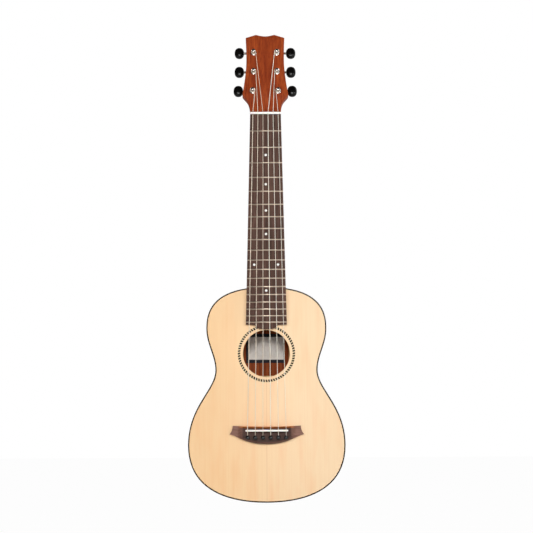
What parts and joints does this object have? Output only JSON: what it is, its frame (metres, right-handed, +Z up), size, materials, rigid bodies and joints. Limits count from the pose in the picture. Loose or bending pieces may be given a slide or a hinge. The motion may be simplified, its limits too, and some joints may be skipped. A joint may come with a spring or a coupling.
{
  "type": "travel guitar",
  "caption": "Small-bodied nylon-string travel guitar with hollow waisted body, fretted neck, tilted headstock and worm-geared tuning machines that turn the string posts.",
  "frame": {"origin": "on the centre plane, at the nut line, on the plane where the fingerboard is glued to the neck, which is also the soundboard face", "axes": "+Z up the neck towards the head, +Y towards the back, +X towards the treble strings"},
  "size_m": [0.2498, 0.091, 0.7675],
  "materials": {
    "spruce_top": "satin lacquer, straight fine grain, book-matched",
    "rosette_inlay": "herringbone marquetry under lacquer",
    "binding_wood": "dark hardwood strip, satin",
    "mahogany_body": "satin, open pored, reddish brown",
    "mahogany_neck": "satin, orange-red stain",
    "lining_wood": "bare, kerfed",
    "spruce_brace": "bare",
    "label_paper": "matt, blank with a printed border line",
    "dark_rosewood": "oiled, open grain",
    "rod_steel": "plain",
    "bone_white": "polished, off-white",
    "nylon_string": "clear nylon, slightly milky",
    "wound_string": "silvered wire wound on floss",
    "black_plastic": "polished black",
    "chrome_plate": "bright plate",
    "post_steel": "bright plate, brass wheel"
  },
  "bodies": {
    "root": {"soundboard": "spruce_top", "rosette": "rosette_inlay", "top_binding": "binding_wood", "back_plate": "mahogany_body", "side_bass": "mahogany_body", "side_treble": "mahogany_body", "top_lining_bass": "lining_wood", "top_lining_treble": "lining_wood", "back_lining_bass": "lining_wood", "back_lining_treble": "lining_wood", "heel_block": "lining_wood", "tail_block": "lining_wood", "upper_cross_bar": "spruce_brace", "top_bracing": "spruce_brace", "back_bracing": "spruce_brace", "label": "label_paper", "neck": "mahogany_neck", "heel_cap": "dark_rosewood", "truss_rod": "rod_steel", "fingerboard": "dark_rosewood", "nut": "bone_white", "bridge": "dark_rosewood", "saddle": "bone_white", "string_1": "nylon_string", "bridge_pin_1": "black_plastic", "tuner_plate_1": "chrome_plate", "string_2": "nylon_string", "bridge_pin_2": "black_plastic", "tuner_plate_2": "chrome_plate", "string_3": "nylon_string", "bridge_pin_3": "black_plastic", "tuner_plate_3": "chrome_plate", "string_4": "wound_string", "bridge_pin_4": "black_plastic", "tuner_plate_4": "chrome_plate", "string_5": "wound_string", "bridge_pin_5": "black_plastic", "tuner_plate_5": "chrome_plate", "string_6": "wound_string", "bridge_pin_6": "black_plastic", "tuner_plate_6": "chrome_plate"},
    "knob_1": {"tuner_worm_1": "chrome_plate", "tuner_button_1": "black_plastic"},
    "post_1": {"string_post_1": "post_steel"},
    "knob_2": {"tuner_worm_2": "chrome_plate", "tuner_button_2": "black_plastic"},
    "post_2": {"string_post_2": "post_steel"},
    "knob_3": {"tuner_worm_3": "chrome_plate", "tuner_button_3": "black_plastic"},
    "post_3": {"string_post_3": "post_steel"},
    "knob_4": {"tuner_worm_4": "chrome_plate", "tuner_button_4": "black_plastic"},
    "post_4": {"string_post_4": "post_steel"},
    "knob_5": {"tuner_worm_5": "chrome_plate", "tuner_button_5": "black_plastic"},
    "post_5": {"string_post_5": "post_steel"},
    "knob_6": {"tuner_worm_6": "chrome_plate", "tuner_button_6": "black_plastic"},
    "post_6": {"string_post_6": "post_steel"}
  },
  "joints": [
    {"name": "knob_turn_1", "type": "hinge", "parent": "root", "child": "knob_1", "pos_m": [0.0208, 0.02879, 0.04551], "axis": [1, 0, 0], "continuous": true},
    {"name": "post_turn_1", "type": "hinge", "parent": "root", "child": "post_1", "pos_m": [0.0208, 0.00873, 0.04108], "axis": [0, -0.9781, 0.2079], "continuous": true, "deforming": ["string_1"]},
    {"name": "knob_turn_2", "type": "hinge", "parent": "root", "child": "knob_2", "pos_m": [0.01915, 0.03607, 0.07974], "axis": [1, 0, 0], "continuous": true},
    {"name": "post_turn_2", "type": "hinge", "parent": "root", "child": "post_2", "pos_m": [0.01915, 0.01601, 0.07532], "axis": [0, -0.9781, 0.2079], "continuous": true, "deforming": ["string_2"]},
    {"name": "knob_turn_3", "type": "hinge", "parent": "root", "child": "knob_3", "pos_m": [0.01915, 0.04334, 0.11398], "axis": [1, 0, 0], "continuous": true},
    {"name": "post_turn_3", "type": "hinge", "parent": "root", "child": "post_3", "pos_m": [0.01915, 0.02329, 0.10955], "axis": [0, -0.9781, 0.2079], "continuous": true, "deforming": ["string_3"]},
    {"name": "knob_turn_4", "type": "hinge", "parent": "root", "child": "knob_4", "pos_m": [-0.01915, 0.04334, 0.11398], "axis": [1, 0, 0], "continuous": true},
    {"name": "post_turn_4", "type": "hinge", "parent": "root", "child": "post_4", "pos_m": [-0.01915, 0.02329, 0.10955], "axis": [0, -0.9781, 0.2079], "continuous": true, "deforming": ["string_4"]},
    {"name": "knob_turn_5", "type": "hinge", "parent": "root", "child": "knob_5", "pos_m": [-0.01915, 0.03607, 0.07974], "axis": [1, 0, 0], "continuous": true},
    {"name": "post_turn_5", "type": "hinge", "parent": "root", "child": "post_5", "pos_m": [-0.01915, 0.01601, 0.07532], "axis": [0, -0.9781, 0.2079], "continuous": true, "deforming": ["string_5"]},
    {"name": "knob_turn_6", "type": "hinge", "parent": "root", "child": "knob_6", "pos_m": [-0.0208, 0.02879, 0.04551], "axis": [1, 0, 0], "continuous": true},
    {"name": "post_turn_6", "type": "hinge", "parent": "root", "child": "post_6", "pos_m": [-0.0208, 0.00873, 0.04108], "axis": [0, -0.9781, 0.2079], "continuous": true, "deforming": ["string_6"]}
  ],
  "couplings": [
    {"joint": "post_turn_1", "follows": "knob_turn_1", "ratio": 0.071429},
    {"joint": "post_turn_2", "follows": "knob_turn_2", "ratio": 0.071429},
    {"joint": "post_turn_3", "follows": "knob_turn_3", "ratio": 0.071429},
    {"joint": "post_turn_4", "follows": "knob_turn_4", "ratio": 0.071429},
    {"joint": "post_turn_5", "follows": "knob_turn_5", "ratio": 0.071429},
    {"joint": "post_turn_6", "follows": "knob_turn_6", "ratio": 0.071429}
  ]
}
